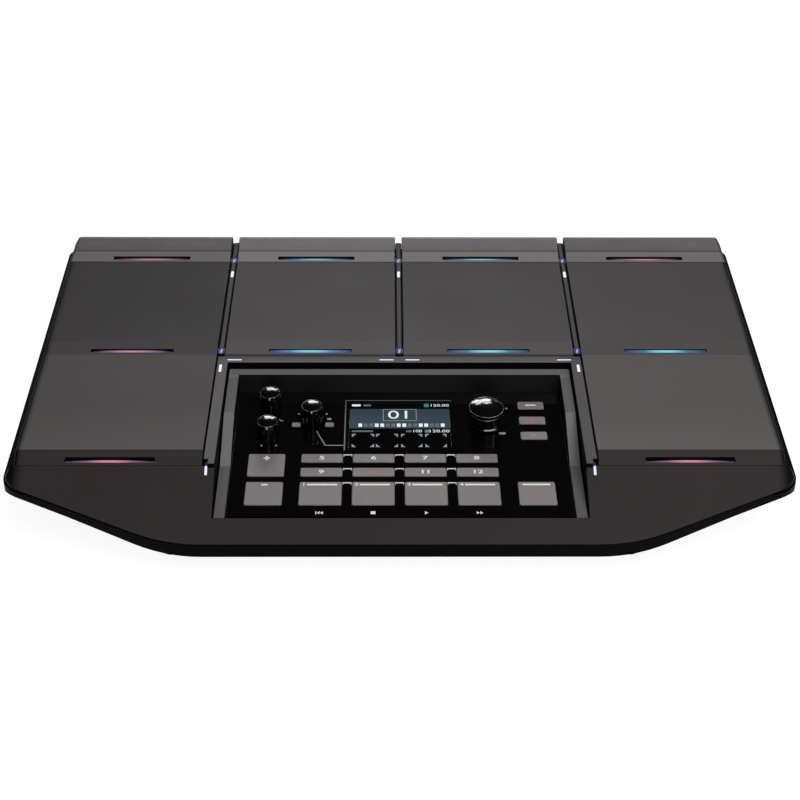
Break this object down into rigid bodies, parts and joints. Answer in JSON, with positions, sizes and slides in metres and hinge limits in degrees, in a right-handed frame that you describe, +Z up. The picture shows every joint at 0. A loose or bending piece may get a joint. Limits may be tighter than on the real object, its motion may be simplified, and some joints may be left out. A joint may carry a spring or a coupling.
{
  "type": "drum machine",
  "caption": "Wide percussion instrument with rows of rectangular drum pads round a sunken control panel that has a small display, push buttons, knobs and a dial.",
  "frame": {"origin": "middle of the outline, on the surface that the feet stand on", "axes": "+X to the player's right, +Y away from the player, +Z up"},
  "size_m": [0.48, 0.306, 0.0887],
  "materials": {
    "case": "satin",
    "frame": "fine grain",
    "pad": "matte",
    "bezel": "satin",
    "panel": "gloss",
    "display": "gloss",
    "module": "matte",
    "light": "translucent",
    "button": "translucent matte",
    "knob": "gloss",
    "board": "satin",
    "switch": "matte",
    "metal": "plated",
    "brass": "turned",
    "foot": "matte",
    "foam": "foam",
    "sensor": "film"
  },
  "bodies": {
    "housing": {"lower_case": "case", "top_frame": "frame", "frame_light_windows": "light", "panel_bezel": "bezel", "control_panel": "panel", "display_window": "display", "display_module": "module", "pad_light_bars": "light", "pad_sensors": "sensor", "pad_cushions": "foam", "panel_board": "board", "button_switches": "switch", "knob_controls": "metal", "dial_encoder": "metal", "main_board": "board", "jack_board": "board", "audio_jacks": "metal", "midi_jacks": "switch", "usb_socket": "metal", "power_inlet": "switch", "rubber_feet": "foot", "case_screws": "metal", "stand_inserts": "brass"},
    "rear_pad_1_body": {"rear_pad_1": "pad"},
    "rear_pad_2_body": {"rear_pad_2": "pad"},
    "rear_pad_3_body": {"rear_pad_3": "pad"},
    "rear_pad_4_body": {"rear_pad_4": "pad"},
    "middle_pad_1_body": {"middle_pad_1": "pad"},
    "middle_pad_2_body": {"middle_pad_2": "pad"},
    "middle_pad_3_body": {"middle_pad_3": "pad"},
    "middle_pad_4_body": {"middle_pad_4": "pad"},
    "front_pad_1_body": {"front_pad_1": "pad"},
    "front_pad_2_body": {"front_pad_2": "pad"},
    "track_button_1_body": {"track_button_1": "button"},
    "track_button_2_body": {"track_button_2": "button"},
    "track_button_3_body": {"track_button_3": "button"},
    "track_button_4_body": {"track_button_4": "button"},
    "lower_button_1_body": {"lower_button_1": "button"},
    "lower_button_2_body": {"lower_button_2": "button"},
    "lower_button_3_body": {"lower_button_3": "button"},
    "lower_button_4_body": {"lower_button_4": "button"},
    "upper_button_1_body": {"upper_button_1": "button"},
    "upper_button_2_body": {"upper_button_2": "button"},
    "upper_button_3_body": {"upper_button_3": "button"},
    "upper_button_4_body": {"upper_button_4": "button"},
    "minus_button_body": {"minus_button": "button"},
    "plus_button_body": {"plus_button": "button"},
    "function_button_body": {"function_button": "button"},
    "menu_button_1_body": {"menu_button_1": "button"},
    "menu_button_2_body": {"menu_button_2": "button"},
    "menu_button_3_body": {"menu_button_3": "button"},
    "page_button_1_body": {"page_button_1": "button"},
    "page_button_2_body": {"page_button_2": "button"},
    "volume_knob_body": {"volume_knob": "knob"},
    "phones_knob_body": {"phones_knob": "knob"},
    "value_knob_body": {"value_knob": "knob"},
    "dial_plunger_body": {"dial_plunger": "switch"},
    "dial_knob_body": {"dial_knob": "knob", "dial_spindle": "metal"},
    "power_button_body": {"power_button": "button"}
  },
  "joints": [
    {"name": "rear_pad_1_press", "type": "slide", "parent": "housing", "child": "rear_pad_1_body", "axis": [0, -0.1219, 0.9925], "range_m": [-0.0008, 0], "stiffness_N_per_m": 20000, "springref_m": 0.0003},
    {"name": "rear_pad_2_press", "type": "slide", "parent": "housing", "child": "rear_pad_2_body", "axis": [0, -0.1219, 0.9925], "range_m": [-0.0008, 0], "stiffness_N_per_m": 20000, "springref_m": 0.0003},
    {"name": "rear_pad_3_press", "type": "slide", "parent": "housing", "child": "rear_pad_3_body", "axis": [0, -0.1219, 0.9925], "range_m": [-0.0008, 0], "stiffness_N_per_m": 20000, "springref_m": 0.0003},
    {"name": "rear_pad_4_press", "type": "slide", "parent": "housing", "child": "rear_pad_4_body", "axis": [0, -0.1219, 0.9925], "range_m": [-0.0008, 0], "stiffness_N_per_m": 20000, "springref_m": 0.0003},
    {"name": "middle_pad_1_press", "type": "slide", "parent": "housing", "child": "middle_pad_1_body", "axis": [0, -0.1219, 0.9925], "range_m": [-0.0008, 0], "stiffness_N_per_m": 20000, "springref_m": 0.0003},
    {"name": "middle_pad_2_press", "type": "slide", "parent": "housing", "child": "middle_pad_2_body", "axis": [0, -0.1219, 0.9925], "range_m": [-0.0008, 0], "stiffness_N_per_m": 20000, "springref_m": 0.0003},
    {"name": "middle_pad_3_press", "type": "slide", "parent": "housing", "child": "middle_pad_3_body", "axis": [0, -0.1219, 0.9925], "range_m": [-0.0008, 0], "stiffness_N_per_m": 20000, "springref_m": 0.0003},
    {"name": "middle_pad_4_press", "type": "slide", "parent": "housing", "child": "middle_pad_4_body", "axis": [0, -0.1219, 0.9925], "range_m": [-0.0008, 0], "stiffness_N_per_m": 20000, "springref_m": 0.0003},
    {"name": "front_pad_1_press", "type": "slide", "parent": "housing", "child": "front_pad_1_body", "axis": [0, -0.1219, 0.9925], "range_m": [-0.0008, 0], "stiffness_N_per_m": 20000, "springref_m": 0.0003},
    {"name": "front_pad_2_press", "type": "slide", "parent": "housing", "child": "front_pad_2_body", "axis": [0, -0.1219, 0.9925], "range_m": [-0.0008, 0], "stiffness_N_per_m": 20000, "springref_m": 0.0003},
    {"name": "track_button_1_press", "type": "slide", "parent": "housing", "child": "track_button_1_body", "axis": [0, -0.1219, 0.9925], "range_m": [-0.0004, 0], "stiffness_N_per_m": 500, "springref_m": 0.0005},
    {"name": "track_button_2_press", "type": "slide", "parent": "housing", "child": "track_button_2_body", "axis": [0, -0.1219, 0.9925], "range_m": [-0.0004, 0], "stiffness_N_per_m": 500, "springref_m": 0.0005},
    {"name": "track_button_3_press", "type": "slide", "parent": "housing", "child": "track_button_3_body", "axis": [0, -0.1219, 0.9925], "range_m": [-0.0004, 0], "stiffness_N_per_m": 500, "springref_m": 0.0005},
    {"name": "track_button_4_press", "type": "slide", "parent": "housing", "child": "track_button_4_body", "axis": [0, -0.1219, 0.9925], "range_m": [-0.0004, 0], "stiffness_N_per_m": 500, "springref_m": 0.0005},
    {"name": "lower_button_1_press", "type": "slide", "parent": "housing", "child": "lower_button_1_body", "axis": [0, -0.1219, 0.9925], "range_m": [-0.0004, 0], "stiffness_N_per_m": 500, "springref_m": 0.0005},
    {"name": "lower_button_2_press", "type": "slide", "parent": "housing", "child": "lower_button_2_body", "axis": [0, -0.1219, 0.9925], "range_m": [-0.0004, 0], "stiffness_N_per_m": 500, "springref_m": 0.0005},
    {"name": "lower_button_3_press", "type": "slide", "parent": "housing", "child": "lower_button_3_body", "axis": [0, -0.1219, 0.9925], "range_m": [-0.0004, 0], "stiffness_N_per_m": 500, "springref_m": 0.0005},
    {"name": "lower_button_4_press", "type": "slide", "parent": "housing", "child": "lower_button_4_body", "axis": [0, -0.1219, 0.9925], "range_m": [-0.0004, 0], "stiffness_N_per_m": 500, "springref_m": 0.0005},
    {"name": "upper_button_1_press", "type": "slide", "parent": "housing", "child": "upper_button_1_body", "axis": [0, -0.1219, 0.9925], "range_m": [-0.0004, 0], "stiffness_N_per_m": 500, "springref_m": 0.0005},
    {"name": "upper_button_2_press", "type": "slide", "parent": "housing", "child": "upper_button_2_body", "axis": [0, -0.1219, 0.9925], "range_m": [-0.0004, 0], "stiffness_N_per_m": 500, "springref_m": 0.0005},
    {"name": "upper_button_3_press", "type": "slide", "parent": "housing", "child": "upper_button_3_body", "axis": [0, -0.1219, 0.9925], "range_m": [-0.0004, 0], "stiffness_N_per_m": 500, "springref_m": 0.0005},
    {"name": "upper_button_4_press", "type": "slide", "parent": "housing", "child": "upper_button_4_body", "axis": [0, -0.1219, 0.9925], "range_m": [-0.0004, 0], "stiffness_N_per_m": 500, "springref_m": 0.0005},
    {"name": "minus_button_press", "type": "slide", "parent": "housing", "child": "minus_button_body", "axis": [0, -0.1219, 0.9925], "range_m": [-0.0004, 0], "stiffness_N_per_m": 500, "springref_m": 0.0005},
    {"name": "plus_button_press", "type": "slide", "parent": "housing", "child": "plus_button_body", "axis": [0, -0.1219, 0.9925], "range_m": [-0.0004, 0], "stiffness_N_per_m": 500, "springref_m": 0.0005},
    {"name": "function_button_press", "type": "slide", "parent": "housing", "child": "function_button_body", "axis": [0, -0.1219, 0.9925], "range_m": [-0.0004, 0], "stiffness_N_per_m": 500, "springref_m": 0.0005},
    {"name": "menu_button_1_press", "type": "slide", "parent": "housing", "child": "menu_button_1_body", "axis": [0, -0.1219, 0.9925], "range_m": [-0.0004, 0], "stiffness_N_per_m": 500, "springref_m": 0.0005},
    {"name": "menu_button_2_press", "type": "slide", "parent": "housing", "child": "menu_button_2_body", "axis": [0, -0.1219, 0.9925], "range_m": [-0.0004, 0], "stiffness_N_per_m": 500, "springref_m": 0.0005},
    {"name": "menu_button_3_press", "type": "slide", "parent": "housing", "child": "menu_button_3_body", "axis": [0, -0.1219, 0.9925], "range_m": [-0.0004, 0], "stiffness_N_per_m": 500, "springref_m": 0.0005},
    {"name": "page_button_1_press", "type": "slide", "parent": "housing", "child": "page_button_1_body", "axis": [0, -0.1219, 0.9925], "range_m": [-0.0004, 0], "stiffness_N_per_m": 500, "springref_m": 0.0005},
    {"name": "page_button_2_press", "type": "slide", "parent": "housing", "child": "page_button_2_body", "axis": [0, -0.1219, 0.9925], "range_m": [-0.0004, 0], "stiffness_N_per_m": 500, "springref_m": 0.0005},
    {"name": "volume_knob_turn", "type": "hinge", "parent": "housing", "child": "volume_knob_body", "pos_m": [-0.083, -0.03226, 0.05187], "axis": [0, -0.1219, 0.9925], "range_deg": [-150, 150]},
    {"name": "phones_knob_turn", "type": "hinge", "parent": "housing", "child": "phones_knob_body", "pos_m": [-0.083, -0.06193, 0.04823], "axis": [0, -0.1219, 0.9925], "range_deg": [-150, 150]},
    {"name": "value_knob_turn", "type": "hinge", "parent": "housing", "child": "value_knob_body", "pos_m": [-0.0557, -0.04596, 0.05019], "axis": [0, -0.1219, 0.9925], "range_deg": [-150, 150]},
    {"name": "dial_push", "type": "slide", "parent": "housing", "child": "dial_plunger_body", "axis": [0, -0.1219, 0.9925], "range_m": [-0.0005, 0], "stiffness_N_per_m": 800, "springref_m": 0.0008},
    {"name": "dial_turn", "type": "hinge", "parent": "dial_plunger_body", "child": "dial_knob_body", "pos_m": [0.0548, -0.04784, 0.04996], "axis": [0, -0.1219, 0.9925], "continuous": true},
    {"name": "power_button_press", "type": "slide", "parent": "housing", "child": "power_button_body", "axis": [0, 1, 0], "range_m": [-0.002, 0], "stiffness_N_per_m": 500, "springref_m": 0.0005}
  ]
}
